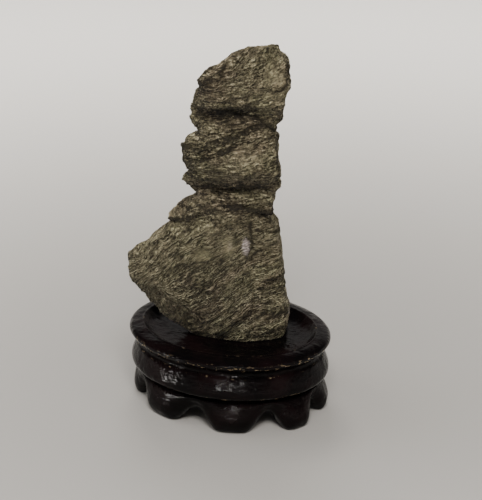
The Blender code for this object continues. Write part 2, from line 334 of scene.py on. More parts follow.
STONE_DARK = (0.028, 0.024, 0.015)
STONE_LOW = (0.125, 0.108, 0.065)
STONE_MIDDLE = (0.275, 0.243, 0.150)
STONE_HIGH = (0.60, 0.54, 0.36)
STONE_PURPLE = (0.84, 0.74, 0.80)
STONE_GREEN = (0.95, 0.98, 0.93)
STONE_PALE = (0.62, 0.53, 0.51)
# The stone's tone runs from 0 deep in a crease to 1 on a flake's back, so it carries painted shade in the
# hollows and painted light on the raised parts.
STONE_TONE = 0.585
STONE_COLOURS = ((0.02, STONE_DARK), (0.33, STONE_LOW), (0.59, STONE_MIDDLE), (0.93, STONE_HIGH))
# What each number kept on the mesh adds to the tone. The relief, the creases, the grooves and the cracks add
# painted light on raised parts and painted shade in hollows, in cracks and under overhangs; the last adds
# painted light and shade besides the stone's own tone.
TONE_CHANGES = (("relief", 0.14), ("crease", -0.46), ("groove", -0.03), ("crack_and_shadow_line", -0.62), ("smooth", -0.07),
                ("painted_light_and_tone", 1.0))
# The shares of streaks and crumbs in the grain: (on the base, how much more on the flaky upper part).
STREAK_SHARES = (1.5, -0.65)
CRUMB_SHARES = (0.85, 0.9)
GRIT_SHARE = 0.4
LINE_SHARE = 0.85
GRAIN_IN_TONE = 0.85
# The shares of lines, streaks, crumbs and grit in the bump, and its depth in metres.
BUMP_SHARES = (0.75, 1.0, 0.5, 0.2)
STONE_BUMP = 0.0054
# Where the stone is tinted, and how strongly the pale mineral covers each tone.
TINTED = ((0.46, 0.0), (0.62, 1.0))
PURPLE_SHARE = 0.6
PALE_COVER = ((0.25, 0.35), (0.7, 0.95))
STONE_ROUGHNESS = ((0.1, 0.95), (0.9, 0.66))
STONE_SPECULAR = 0.4


def stone_material():
    n = Nodes("layered grey-brown stone")
    layers = n.attribute("layers", "Vector")
    place = n.place()
    sway = n.noise(layers, *SWAY_NOISE)
    saw = n.maths("FRACT", n.add(n.maths("MULTIPLY", sway, LINE_SWAY), n.upward(layers), LINES_PER_MM))
    line = n.maths("SUBTRACT", n.ramp(saw, LINE_PROFILE), LINE_MIDDLE)
    lines = n.maths("MULTIPLY", line, n.ramp(n.noise(layers, *BREAK_NOISE), LINE_BREAKS))
    streaks = n.noise(layers, *STREAK_NOISE)
    crumbs = n.noise(place, *CRUMB_NOISE)
    grit = n.noise(place, *GRIT_NOISE)
    coarseness = n.attribute("grain")

    flaky = n.attribute("flaky")
    streak_share = n.add(STREAK_SHARES[0], flaky, STREAK_SHARES[1])
    crumb_share = n.add(CRUMB_SHARES[0], flaky, CRUMB_SHARES[1])
    grain = n.maths("MULTIPLY", lines, LINE_SHARE)
    for part, share in ((streaks, streak_share), (crumbs, crumb_share), (grit, GRIT_SHARE)):
        grain = n.add(grain, n.maths("SUBTRACT", part, NOISE_MIDDLE), share)
    tone = n.add(STONE_TONE, n.maths("MULTIPLY", grain, GRAIN_IN_TONE), coarseness)
    for name, change in TONE_CHANGES:
        tone = n.add(tone, n.attribute(name), change)

    colour = n.ramp(tone, STONE_COLOURS)
    purple = n.ramp(n.noise(layers, *ZONE_NOISE), TINTED)
    purpled = n.mix(1.0, colour, STONE_PURPLE, "MULTIPLY")
    colour = n.mix(n.maths("MULTIPLY", purple, PURPLE_SHARE), colour, purpled)
    green = n.ramp(n.noise(place, *BLOTCH_NOISE), TINTED)
    colour = n.mix(green, colour, n.mix(1.0, colour, STONE_GREEN, "MULTIPLY"))
    pale = n.maths("MULTIPLY", n.attribute("pale"), n.ramp(tone, PALE_COVER))
    n.link(n.mix(pale, colour, STONE_PALE), n.shader.inputs["Base Color"])
    n.link(n.ramp(tone, STONE_ROUGHNESS), n.shader.inputs["Roughness"])
    n.shader.inputs["Specular IOR Level"].default_value = STONE_SPECULAR

    height = 0.0
    for part, share in zip((lines, streaks, crumbs, grit), BUMP_SHARES):
        height = n.add(height, part, share)
    n.link(n.bump(n.maths("MULTIPLY", height, coarseness), STONE_BUMP), n.shader.inputs["Normal"])
    return n.material


# ---- the stand's material ----

LACQUER_BLACK = (0.0015, 0.0012, 0.0013)
LACQUER_RED = (0.0061, 0.0028, 0.0030)
LACQUER_WORN_AND_GLINT = (0.34, 0.26, 0.16)
WOOD_GRAIN_NOISE = ((60, 600, 600), 4, 0.6, 0.3)
CLOUD_NOISE = (45, 3, 0.55)
SPECK_NOISE = (900, 3, 0.6)
WEAR_AND_GLINT_NOISE = ((300, 300, 900), 3, 0.6)
DENT_NOISE = (170, 2, 0.5)
# Where the red shows, in clouds and along the grain, and how strongly.
RED_CLOUDS = ((0.42, 0.0), (0.68, 1.0))
RED_CLOUD_SHARE = 0.6
RED_GRAIN = ((0.55, 0.0), (0.75, 1.0))
RED_GRAIN_SHARE = 0.25
# Where a worn edge shows bare wood, which also stands as painted glints along the rim's edges, and where the
# gloss is duller and by how much.
WORN_AND_GLINT_SPOTS = ((0.60, 0.0), (0.67, 1.0))
DULL_SPECKS = ((0.3, 0.0), (0.8, 1.0))
DULLER = 0.10
LACQUER_ROUGHNESS = 0.05
LACQUER_SPECULAR = 0.08
WOOD_GRAIN_IN_BUMP = 0.35
LACQUER_BUMP = 0.0008


def lacquer_material():
    n = Nodes("black-brown lacquered wood")
    place = n.place()
    grain = n.noise(place, *WOOD_GRAIN_NOISE)
    clouds = n.ramp(n.noise(place, *CLOUD_NOISE), RED_CLOUDS)
    colour = n.mix(n.maths("MULTIPLY", clouds, RED_CLOUD_SHARE), LACQUER_BLACK, LACQUER_RED)
    colour = n.mix(n.maths("MULTIPLY", n.ramp(grain, RED_GRAIN), RED_GRAIN_SHARE), colour, LACQUER_RED)
    # Worn edges in a light bare-wood colour: partly real wear, partly painted glints.
    worn_and_glint = n.maths("MULTIPLY", n.attribute("edge"), n.ramp(n.noise(place, *WEAR_AND_GLINT_NOISE), WORN_AND_GLINT_SPOTS))
    n.link(n.mix(worn_and_glint, colour, LACQUER_WORN_AND_GLINT), n.shader.inputs["Base Color"])
    n.shader.inputs["Specular IOR Level"].default_value = LACQUER_SPECULAR
    dull = n.ramp(n.noise(place, *SPECK_NOISE), DULL_SPECKS)
    n.link(n.add(LACQUER_ROUGHNESS, dull, DULLER), n.shader.inputs["Roughness"])
    height = n.maths("ADD", n.maths("MULTIPLY", grain, WOOD_GRAIN_IN_BUMP), n.noise(place, *DENT_NOISE))
    n.link(n.bump(height, LACQUER_BUMP), n.shader.inputs["Normal"])
    return n.material


# ---- stand ----

RIM_HALF_LENGTH = 57.5
RIM_HALF_DEPTH = 43.9
FLOOR_HEIGHT = 41.0
PANEL_HEIGHT = 13.0
ARCH_HEIGHT = 11.0
ARCH_SPAN = (0.36, 0.97)
APRON_TOP = 19.4
VALLEY_DEPTH = 4.5
STEPS_PER_LOBE = 56
ROWS_PER_STEP = 4
# The apron's nine uneven lobes: (where each starts, where its foot is lowest, how far its foot stands out),
# the first two in degrees of the way round from +X. Each ends where the next one starts.
LOBES = (
    (-11, 5, 0.3), (21, 42, -0.5), (63, 83, 0.0), (104, 123, 0.5), (142, 158, 0.0), (176, 193, -0.5),
    (211, 232, -0.5), (263, 286.5, 0.0), (313, 331, 2.0),
)

# (step out from the rim's ellipse, height, how worn its edge is, which also places the painted glints), from
# the middle of the dish over the rim and down to the apron.
DISH_TO_APRON = (
    (-26.0, 41.0, 0), (-16.0, 41.0, 0), (-11.6, 42.0, 0), (-8.4, 45.0, 0), (-7.8, 45.6, 0.15),
    (-7.2, 45.7, 0.15), (-6.8, 45.5, 0), (-4.6, 45.4, 0), (-1.4, 44.7, 0), (-0.5, 44.1, 0), (0.1, 43.4, 0.1),
    (0.35, 42.7, 0.3), (0.3, 41.8, 1), (-0.9, 39.8, 0.5), (-3.7, 37.6, 0), (-4.6, 35.6, 0), (-4.2, 34.4, 0),
    (-3.6, 33.7, 0.3), (-3.1, 33.1, 0), (-1.9, 30.4, 0), (-0.5, 26.6, 0), (-0.2, 24.0, 0), (-0.4, 22.8, 0.1),
    (-0.9, 21.9, 0.5), (-1.8, 21.2, 0.1), (-3.2, 20.7, 0), (-6.4, 20.2, 0),
)
# (step out, height as a share of the way from the foot to the apron's top), on a lobe's middle.
APRON_TO_FOOT = ((-6.0, 1.0), (-3.4, 0.88), (-1.5, 0.64), (-0.4, 0.34), (-1.4, 0.1), (-3.6, 0.0))
# How far across a lobe, and how far down it, its outward reach and the valley beside it come in.
VALLEY_SPAN = (0.2, 1)
LOBE_DROP = (0, 0.7)
FOOT_INNER_STEP = -11.0
FOOT_SHARES = (0.3, 0.6, 1.0)
PANEL_STEPS = (-12.5, -28.0)
PANEL_ROWS = 3
# The carver's unevenness. It fades in above the ground and outwards from the dish's middle.
CARVING_RELIEF = 0.16
CARVING_SPACING = 11.0
CARVING_HEIGHTS = (0.5, 4)
CARVING_RINGS = (4, 16)
ROUND_SAMPLES = 4801


def flowing(rows, steps):
    """Extra rows between the given ones, on a smooth curve through them."""
    rows = np.array(rows, float)
    padded = np.concatenate((2 * rows[:1] - rows[1:2], rows, 2 * rows[-1:] - rows[-2:-1]))
    made = []
    for a, b, c, d in zip(padded, padded[1:], padded[2:], padded[3:]):
        chord = np.linalg.norm((c - b)[:2])
        before = (c - a) * chord / max(np.linalg.norm((b - a)[:2]) + chord, TINY)
        after = (d - b) * chord / max(np.linalg.norm((d - c)[:2]) + chord, TINY)
        for k in range(steps):
            t = k / steps
            made.append((2 * t ** 3 - 3 * t ** 2 + 1) * b + (t ** 3 - 2 * t ** 2 + t) * before
                        + (3 * t ** 2 - 2 * t ** 3) * c + (t ** 3 - t ** 2) * after)
    made.append(rows[-1])
    return np.array(made)


def foot_columns():
    """For each column: (angle on the ellipse, place across its lobe from -1 by 0 at the foot to 1, reach)."""
    fine = np.linspace(-math.pi / 2, 2.5 * math.pi, ROUND_SAMPLES)
    run = np.hypot(RIM_HALF_LENGTH * np.sin(fine), RIM_HALF_DEPTH * np.cos(fine))
    way = np.concatenate(((0,), np.cumsum((run[1:] + run[:-1]) / 2)))
    turn = way[np.searchsorted(fine, 1.5 * math.pi)]
    way = (way - np.interp(0, fine, way)) / turn * 360
    ends = [lobe[0] for lobe in LOBES[1:]] + [LOBES[0][0] + 360]
    columns = []
    for (start, lowest, reach), end in zip(LOBES, ends):
        for k in range(STEPS_PER_LOBE):
            place = start + (end - start) * k / STEPS_PER_LOBE
            across = float(np.interp(place, (start, lowest, end), (-1, 0, 1)))
            columns.append((float(np.interp(place, way, fine)), across, reach))
    return np.array(columns)


def on_ellipse(step, angles, height):
    x = (RIM_HALF_LENGTH + step) * np.cos(angles)
    y = (RIM_HALF_DEPTH + step) * np.sin(angles)
    return np.stack((x, y, np.broadcast_to(height, x.shape)), axis=-1)


def stand_rows():
    """The stand's rings of points, from the dish over the rim to the panel underneath, and their wear and
    painted glints.
    """
    angles, across, reach = foot_columns().T
    foot = ARCH_HEIGHT * smooth_step(np.abs(across), *ARCH_SPAN)
    valley = smooth_step(np.abs(across), *VALLEY_SPAN)
    lobe_out = reach * (1 - valley) - VALLEY_DEPTH * valley
    rows, wear_and_glint = [], []
    for step, height, edge in flowing(DISH_TO_APRON, ROWS_PER_STEP):
        rows.append(on_ellipse(step, angles, height))
        wear_and_glint.append(edge)
    for step, share in flowing(APRON_TO_FOOT, ROWS_PER_STEP):
        out = lobe_out * smooth_step(1 - share, *LOBE_DROP)
        rows.append(on_ellipse(step + out, angles, foot + share * (APRON_TOP - foot)))
    for share in FOOT_SHARES:
        step = (1 - share) * (APRON_TO_FOOT[-1][0] + lobe_out) + share * FOOT_INNER_STEP
        rows.append(on_ellipse(step, angles, foot))
    for step in np.linspace(*PANEL_STEPS, PANEL_ROWS):
        rows.append(on_ellipse(step, angles, PANEL_HEIGHT))
    wear_and_glint += [0.0] * (len(rows) - len(wear_and_glint))
    return np.array(rows), np.array(wear_and_glint)


def make_stand():
    points, wear_and_glint = stand_rows()
    rings, around = points.shape[:2]
    carved = -surface_normals(points) * (CARVING_RELIEF * noise(points / CARVING_SPACING))[..., None]
    above_ground = smooth_step(points[..., 2], *CARVING_HEIGHTS)
    off_middle = smooth_step(np.arange(rings)[:, None], *CARVING_RINGS)
    points = points + carved * (above_ground * off_middle)[..., None]
    faces = [tuple(reversed(face)) for face in ring_faces(rings, around)]
    last = (rings - 1) * around
    faces.append(tuple(range(around)))
    faces.append(tuple(last + k for k in reversed(range(around))))
    made = add_mesh("stand_lacquered", points.reshape(-1, 3), faces, lacquer_material())
    store(made.data, "edge", np.repeat(np.clip(wear_and_glint, 0, 1), around))
    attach(made, "root")
    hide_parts("stand")
    return made


# ---- stone ----

# Stone: eight ribs run up it. At each height a smooth closed curve through them is the stone's outline.
SEAT_GAP = 0.3
STONE_FOOT = FLOOR_HEIGHT + SEAT_GAP
STONE_TOP = 203.2
CROWN_RISE = 0.3
CRISPNESS = 0.45
CURVE_STEPS = 16
HEIGHT_SAMPLES = 1600

# Each rib: (height, u, v).
LEFT = (
    (41, -22.5, -2), (44.7, -25, -3), (47.3, -28.7, -3), (50.2, -33.2, -3), (54.5, -38.2, -3),
    (59.6, -42, -3), (62.8, -45, -3), (68, -48.7, -3), (73, -53, -3), (78, -54.8, -3), (89.4, -54.6, -3),
    (93.9, -50.9, -3), (96.6, -45.4, -3), (101.4, -41.4, -3), (105.5, -35.6, -3), (109.6, -29.2, -3),
    (110.6, -31.2, -3), (112.8, -32, -3), (116.8, -28.5, -3), (120.8, -23.4, -3), (122.8, -18.5, -2),
    (123.4, -16.4, -2), (124.8, -17.1, -2), (127.6, -19.9, -2), (131.5, -23.2, -3), (133.9, -24.2, -3),
    (138.3, -20.8, -3), (141.2, -23.6, -3), (143.2, -20.8, -3), (145.6, -23.1, -3), (147.6, -22, -3),
    (150, -24.4, -3), (153, -22.7, -3), (155.3, -22.6, -3), (157.2, -20.8, -3), (158.6, -16.2, -2),
    (160, -15.4, -2), (161.9, -16.6, -2), (163.8, -19, -3), (166.2, -20.1, -3), (169.7, -18.9, -3),
    (173, -19.3, -3), (175.3, -17.7, -3), (179.2, -17.4, -3), (183, -15.6, -3), (186.3, -14.7, -3),
    (189.2, -14.3, -3), (192.9, -9.7, -3), (195.1, -5.1, -3), (198.1, -0.1, -3), (200.5, 4.3, -3),
    (202.4, 8.3, -2), (203.2, 12.5, -2),
)
FRONT_LEFT = (
    (41, -17, -8.4), (50, -28, -9), (60, -37, -10), (70, -44.5, -10.5), (80, -48.5, -10.5), (90, -46, -11),
    (100, -33, -12.5), (108, -20, -13), (111, -21, -10.5), (117, -18, -12.5), (122, -14, -13),
    (126, -11, -10), (129, -12, -5.6), (133, -16, -9), (137, -15, -13), (145, -17, -13), (150, -18, -11.5),
    (155, -16, -12), (159, -12, -12.5), (163, -11, -10.5), (166, -13, -8.5), (169, -12, -5.5),
    (171.5, -12, -5.5), (173.5, -11.5, -9), (175, -11, -12.5), (180, -10, -13.5), (186, -8, -13),
    (191, -4, -11.5), (196, 1, -9.5), (200, 5, -7.5), (203.2, 11, -4),
)
FRONT = (
    (41, 8, -16.3), (46, 8, -17.5), (60, 6, -19.5), (75, 4, -20.5), (90, 4, -19.5), (105, 4, -17),
    (116, 4, -15.5), (120, 4, -15), (121.5, 4, -13.6), (123, 4, -15), (126, 4, -13.5), (128.5, 4, -8),
    (131, 4, -7.5), (134, 5, -13.5), (137, 6, -17), (142, 8, -19), (149, 9, -19.5), (155, 8, -17),
    (158, 7, -15.5), (162, 6, -12.5), (166.5, 5, -9), (169.5, 5, -6.5), (172.5, 6, -6.5), (174.5, 6.5, -10),
    (176, 7, -13), (179, 8, -15.5), (185, 10, -17.5), (192, 12, -17), (198, 13, -14), (201, 14, -10.5),
    (203.2, 15, -5),
)
FRONT_RIGHT = (
    (41, 29, -11.5), (50, 30, -12.5), (60, 30.5, -12), (75, 28.5, -12.5), (90, 27, -13), (105, 25.5, -12.5),
    (111, 22.5, -11.5), (116, 20.5, -10), (119, 22, -11), (124, 22.5, -10.5), (128, 20, -7), (131, 20, -7.5),
    (135, 23, -12), (140, 25, -13), (150, 24.5, -13), (158, 23.5, -12), (163, 21.5, -9.5), (167, 22.5, -10),
    (170, 25, -10.5), (175, 27.5, -11.5), (183, 29.5, -12), (192, 30, -11), (198, 28.5, -9.5),
    (201, 26, -7.5), (203.2, 22, -4),
)
RIGHT = (
    (41, 32.5, 2), (50.6, 34.2, 2), (57, 34.1, 2), (63.5, 32.2, 2), (66.3, 30.2, 2), (72, 29.3, 2),
    (78.4, 30.5, 2), (82.5, 30.2, 2), (88.1, 29.6, 2), (96.4, 28.8, 2), (108, 27.4, 2), (112, 23, 2),
    (115.8, 21.9, 2), (119, 23.9, 2), (124.1, 25.1, 2), (126.6, 28, 2), (131.5, 28.6, 2), (138.9, 28.3, 2),
    (146.2, 26.3, 2), (156.8, 25.7, 2), (159.8, 25.4, 2), (161.4, 22.6, 2), (162.6, 27.3, 2),
    (165.2, 29.3, 2), (169.1, 29.7, 2), (178.8, 29.3, 2), (182.6, 32.1, 2), (187.5, 32.7, 2),
    (193.2, 32.1, 2), (198.3, 31.6, 2), (199.6, 30.2, 2), (200.9, 27.8, 1), (203.2, 25.6, 0),
)
BACK_RIGHT = (
    (41, 26, 13), (60, 28, 15), (80, 26, 16), (95, 24, 15), (108, 22, 12), (115, 19, 9), (119, 20, 10),
    (125, 22, 10), (129, 19, 8), (134, 22, 10), (142, 23, 13), (150, 22, 12), (158, 20, 9), (163, 18, 7),
    (168, 23, 9), (178, 26, 11), (188, 27, 11), (197, 25, 7), (201, 22, 4), (203.2, 20, 2),
)
BACK = (
    (41, 2, 17), (50, 1, 19.5), (65, -2, 22.5), (80, -4, 23), (95, -2, 20.5), (107, 0, 16.5), (113, 1, 13.5),
    (118, 2, 12), (122, 2, 15), (126, 3, 14), (130, 3, 10.5), (135, 3, 14.5), (144, 3, 18), (152, 3, 16.5),
    (159, 3, 12), (164, 4, 9.5), (169, 6, 11.5), (176, 7, 15), (186, 9, 16.5), (194, 12, 12), (200, 15, 6.5),
    (203.2, 16, 2),
)
BACK_LEFT = (
    (41, -15, 9), (50, -20, 11), (60, -28, 12.5), (70, -36, 12.5), (80, -40, 12), (90, -37, 11.5),
    (100, -27, 12), (108, -19, 10.5), (113, -21, 7.5), (118, -16, 9), (123, -13, 10.5), (127, -10, 7.5),
    (130, -12, 7), (135, -16, 9.5), (139, -13, 9), (145, -16, 11.5), (152, -16, 11), (158, -12, 8.5),
    (162, -10, 6.5), (166, -12, 8), (170, -11, 6.5), (176, -10, 10), (184, -8, 11.5), (190, -4, 9.5),
    (195, 2, 6.5), (199, 6, 5), (203.2, 11, 1),
)
RIBS = (BACK, BACK_LEFT, LEFT, FRONT_LEFT, FRONT, FRONT_RIGHT, RIGHT, BACK_RIGHT)

FACE = -1
REAR = 1
# Lines across the face that more than one of the tables below follow: (u, height) points.
HEAD_EDGE = ((17.6, 186.5), (22.7, 184.4), (27.3, 184.3), (29.9, 187.4))
NECK_LINE = ((9.6, 169.8), (15.1, 168.7), (20.7, 166.2))
LUMP_EDGE = ((-18.2, 152.4), (-13.6, 152.9), (-7.2, 156.4), (-1.6, 158.4), (3.9, 159.6), (8.4, 161.6),
             (12.9, 163.6), (18.4, 164.7))
LEDGE_LINE = ((-16.1, 146), (-10.2, 148.5), (-5.6, 151), (-0.5, 153.1), (3.9, 155.3))
SLAB_LINE = ((-31.1, 110.9), (-20.2, 114.5))
WAIST_LINE = ((24.7, 117.2), (14.7, 119.4), (0.7, 121.2))
FOOT_LINE = ((-5.6, 44.8), (-0.4, 50.5), (4.7, 57.1), (8.3, 60.3), (15.2, 61.7))

# Grooves: (side of the stone, half width, depth, (u, height) points).
GROOVES = (
    (FACE, 1.0, 1.3, ((-15.6, 185.6), (-11, 187.8), (-5.4, 192.3), (1.8, 198.2), (6, 202.9))),
    (FACE, 0.8, 0.8, ((-14.6, 180.9), (-9.9, 185.2))),
    (FACE, 0.9, 0.9, ((9.6, 172.3), (15.1, 171.1), (20.7, 167.4), (24.3, 163.2))),
    (FACE, 0.9, 0.9, ((-25, 151.5), (-18.2, 152.4), (-13.6, 152.9), (-7.2, 156.4), (3.9, 159.6),
                      (8.4, 161.6), (12.9, 163.6), (18.4, 164.7))),
    (FACE, 0.8, 0.7, ((-24, 145.2), (-16.1, 146), (-10.2, 148.5), (-0.5, 153.1), (3.9, 155.3))),
    (FACE, 0.8, 0.9, SLAB_LINE),
    (FACE, 0.8, 0.9, WAIST_LINE),
    (FACE, 0.8, 0.8, FOOT_LINE),
    (REAR, 1.1, 2.0, ((-20, 178), (-4, 181), (10, 188), (24, 191))),
    (REAR, 1.1, 1.8, ((-25, 143), (-10, 146), (4, 151), (18, 152), (28, 156))),
    (REAR, 1.0, 1.6, ((-32, 111), (-16, 116), (2, 118))),
    (REAR, 1.0, 1.5, ((-50, 72), (-30, 82), (-12, 86), (6, 97), (20, 101))),
    (REAR, 1.0, 1.5, ((-28, 52), (-10, 58), (8, 60), (32, 68))),
)

# Layers: (height, how steeply they climb to the right left of the bend, and right of it).
LAYER_CLIMBS = (
    (41, 0.78, 0.30), (62, 0.80, 0.30), (90, 0.66, 0.22), (106, 0.46, 0.16), (118, 0.16, 0.10),
    (128, 0.02, 0.0), (138, -0.02, 0.18), (150, 0.26, 0.26), (162, 0.24, 0.2), (172, 0.06, 0.1),
    (182, 0.22, 0.2), (194, 0.5, 0.4), (206, 0.62, 0.5),
)
CLIMB_BEND = 13.0
CLIMB_CENTRE = 3.0
# Noise that bends or frays a form: (size, amount, a shift of its own).
LAYER_BENDS = ((20, 2.4, 0), (7, 0.9, 9))
# How far a place on the layers shifts along them for each millimetre of height.
LAYER_SHEAR = 0.6
# Where the layers curl round a point instead: (u, height, radius).
WHORLS = ((-30, 61, 5), (-38, 68, 4), (-20, 54, 4))
WHORL_SPREAD = 1.2

# Ledges and lumps: their size along, into and across the layers, and how far they stand out.
LAYER_SIZE = (14, 14, 5.5)
LAYER_RELIEF = 0.8
LEDGE_CLOSENESS = 0.9
LEDGE_SHARE = 1.6
TREAD_EDGE = 0.75
TREAD_SHARE = 0.6
LUMP_SIZE = 11
LUMP_RELIEF = 1.1
FOOT_FADE = 4.0

# The finer forms follow the layers as this noise bends them: its size, and how far it moves them.
WAVER_SIZE = 2.6
WAVER = (2.6, 2.6, 0.65)
FLAKY_ABOVE = (100.0, 122.0)
# Terraces: thin ledges with a sharp lower edge (spacing, relief).
TERRACES = ((3.7, 0.95), (2.1, 0.62))
LEDGE_EDGE = 0.2
TERRACE_BEND = 1.1
TERRACE_BEND_SIZE = 2.4
# Terraces come and go in patches of this size: (mean, change) and limits of their strength.
TERRACE_PATCH = (10, 10, 5)
TERRACE_STRENGTH = (0.6, 1.4)
TERRACE_LIMITS = (0.1, 1.3)
TERRACE_LOST_AMONG_FLAKES = 0.35
TERRACE_CREASE = 0.42
# Flakes: (length, height, how deep their edges are cut, how unevenly they stand).
FLAKES = ((8.5, 3.0, 0.34, 0.20), (4.2, 1.6, 0.36, 0.18))
# Their strength: (on the base, how much more on the flaky upper part).
FLAKE_STRENGTH = (0.55, 0.45)
FLAKE_SHOULDER = 0.42
FLAKE_LEVEL = 0.75
FLAKE_LIFT = 1.4
FLAKE_CREASE = 0.8
FLAKE_CREASE_WIDTH = 0.25
# Wrinkles: long thin valleys.
WRINKLE_SIZE = (15, 15, 3)
WRINKLE_DEPTH = 0.60
WRINKLE_WIDTH = 0.12
WRINKLE_LEVEL = 0.8
WRINKLE_CREASE = 0.6
# How much lower the finer forms are in the smooth places and on the narrow sides, which face this little to
# the front or the back.
SMOOTHED_RELIEF = 0.7
SMOOTHED_CREASE = 0.6
SIDE_RELIEF_LOST = 0.45
SIDEWAYS = (0.15, 0.6)
# Over which depths from the stone's middle plane a mark on its face or rear fades in.
FACING = (0, 4)
# Smoother, slightly paler places: (side, u, height, radius along u, radius along the height, share).
SMOOTH_PLACES = (
    (FACE, -13.4, 93.3, 6.0, 4.5, 0.9), (FACE, 0.6, 100, 3.4, 5.0, 0.95), (FACE, -44, 77, 6.0, 7.0, 0.7),
    (FACE, 9.5, 149.4, 9.0, 6.0, 0.45), (FACE, 24, 188, 7.0, 12.0, 0.6), (REAR, 14, 184, 12.0, 10.0, 0.5),
    (REAR, -20, 78, 14.0, 9.0, 0.5), (REAR, 12, 60, 9.0, 8.0, 0.5),
)
# How much weaker the grain is in the smooth places, and how much stronger it is low on the stone.
SMOOTHED_GRAIN = 0.75
LOW_GRAIN = 0.78
LOW_GRAIN_HEIGHTS = (66.0, 100.0)

# Overhangs: the stone steps in under each line and comes out again over some way below it.
# Each: (side, how far in, how far below the line it reaches, (u, height) points from left to right).
OVERHANGS = (
    (FACE, 1.5, 2.8, ((-25, 152.6), *LUMP_EDGE)),
    (FACE, 1.2, 2.6, ((-23, 145.7), *LEDGE_LINE)),
    (FACE, 1.8, 3.0, ((-16, 173), (-9, 172.4), (0, 171.2), *NECK_LINE, (26, 162))),
    (FACE, 0.9, 3.0, ((-16, 184.5), (-11, 187.2), (-5.4, 191.7), (1.8, 197.6))),
    (FACE, 0.8, 2.2, HEAD_EDGE),
    (FACE, 0.9, 2.6, ((-8, 143.5), (0, 141.5), (9, 141), (18, 143.5), (24, 147))),
    (FACE, 1.2, 2.8, ((-20, 139.6), (-7.5, 137.7), (3.9, 134.6), (15.2, 133), (23.8, 136.3))),
    (FACE, 1.0, 3.0, ((-33, 110.9), (-26, 112.4), (-20.2, 114.5), (-14, 115.4))),
    (FACE, 1.0, 2.6, ((0.7, 121.2), (8, 120.6), (14.7, 119.4), (26, 117))),
    (FACE, 0.9, 3.0, FOOT_LINE),
    (FACE, 0.7, 2.4, ((17.9, 53.8), (24, 56), (33, 60))),
    (FACE, 0.7, 2.4, ((13.6, 50.4), (21, 49.4), (33, 48.6))),
    (FACE, 0.6, 2.0, ((16.2, 74.8), (24, 74.4), (32, 73.3))),
    (FACE, 0.6, 2.0, ((21.6, 80.3), (32, 79.3))),
    (FACE, 0.6, 2.2, ((-34, 84), (-24, 89), (-12, 90.5), (-4, 95))),
    (FACE, 0.6, 2.2, ((-26, 66), (-16, 73), (-6, 84), (4, 92))),
    (REAR, 1.4, 4.0, ((-24, 170), (-8, 173), (8, 172), (26, 168))),
    (REAR, 1.2, 3.6, ((-25, 146), (-10, 150), (6, 153), (26, 158))),
    (REAR, 0.9, 3.0, ((-40, 88), (-22, 93), (-4, 99), (18, 104))),
    (REAR, 0.9, 3.0, ((-30, 56), (-10, 62), (10, 66), (30, 74))),
)
OVERHANG_WAVER = ((3.4, 1.0, 90), (1.6, 0.5, 12))
OVERHANG_FACING = (2.5, 8)
OVERHANG_ENDS = (-1, 2)
OVERHANG_EDGE = (-0.3, 0.35)
# The painted shadow line under each overhang, also cut in like a crack: how far below the edge, how wide, and
# its share of a crack.
SHADOW_LINE_DROP = 0.2
SHADOW_LINE_WIDTH = 0.4
SHADOW_LINE_SHARE = 0.5

# Cracks: thin lines cut into the face and darkened with painted shade, each a run of (u, height).
CRACK_HALF_WIDTH = 0.55
CRACK_DEPTH = 1.1
CRACK_WAVER = 0.9
CRACK_WAVER_SIZE = 3.1
# How deep a crack is along its run: (mean, change, size of the change).
CRACK_STRENGTH = (0.75, 0.6, 2.5)
CRACKS = (
    HEAD_EDGE,
    (*NECK_LINE, (24.3, 163)),
    ((-24, 152.6), *LUMP_EDGE),
    ((-22.5, 145.7), *LEDGE_LINE),
    SLAB_LINE,
    WAIST_LINE,
    ((12.2, 112.4), (12, 105.9), (12.9, 100.7), (10.5, 96.1), (9.5, 93.1)),
    FOOT_LINE,
    ((11.8, 55), (19.9, 60.6)),
    ((17.9, 53.8), (29.6, 58.6)),
    ((8.7, 44.1), (13.6, 50.4), (29.7, 48.6)),
    ((13.9, 95.5), (16.1, 97.2), (20.9, 95.8)),
    ((21.6, 80.3), (31.2, 79.5)),
    ((16.2, 74.8), (31.5, 73.3)),
    ((18.4, 66), (23.4, 65.4)),
    ((15, 107.8), (26.8, 105.2)),
    ((27.4, 163), (25.7, 157), (25.2, 148), (25.9, 140), (25.2, 133)),
    ((30.4, 197), (30.7, 190), (29.9, 186)),
)

# A knob on the crown's right corner: (u, v), its rise, its radius, and the heights over which it fades in.
KNOB_PLACE = (23.0, -1.0)
KNOB_RISE = 1.6
KNOB_RADIUS = 3.0
KNOB_HEIGHTS = (198.0, 203.0)

STONE_COLUMNS = 316
STONE_ROWS = 312

# Painted shade darkens the stone under the overhangs (for each millimetre they are deep) and on the narrow
# faces down its upper right edge.
OVERHANG_PAINTED_SHADE = 0.07
SIDE_PAINTED_SHADE = 0.26
SIDE_FACING = (0.70, 0.95)
SIDE_HEIGHTS = (116.0, 124.0)
# Lighter and darker places: (side, u, height, radius along u, radius along the height, amount). The ones at
# heights
# 169.4, 121 and 187 are painted shade under the head's overhang, on the slab under the lump and on the head's
# left side. The one at 50 is painted light on the low base, which faces down. The others are the stone's own
# tone.
LIGHT_AND_TONE_PLACES = (
    (FACE, 6, 150, 60, 40, 0.06), (FACE, 22, 180, 10, 14, 0.03), (FACE, -8, 187, 10, 8, -0.12),
    (FACE, 1, 169.4, 15, 3.4, -0.27), (FACE, 0, 121, 28, 7, -0.10), (FACE, -12, 87, 14, 6, -0.08),
    (FACE, -22, 76, 9, 6, -0.07), (FACE, -14, 66, 9, 7, -0.07), (FACE, 22, 80, 14, 24, 0.04),
    (FACE, 10, 50, 24, 9, 0.08), (FACE, -12, 78, 38, 24, -0.06), (REAR, -10, 176, 14, 6, -0.08),
    (REAR, 4, 96, 24, 8, -0.07), (REAR, -24, 64, 10, 8, -0.06),
)
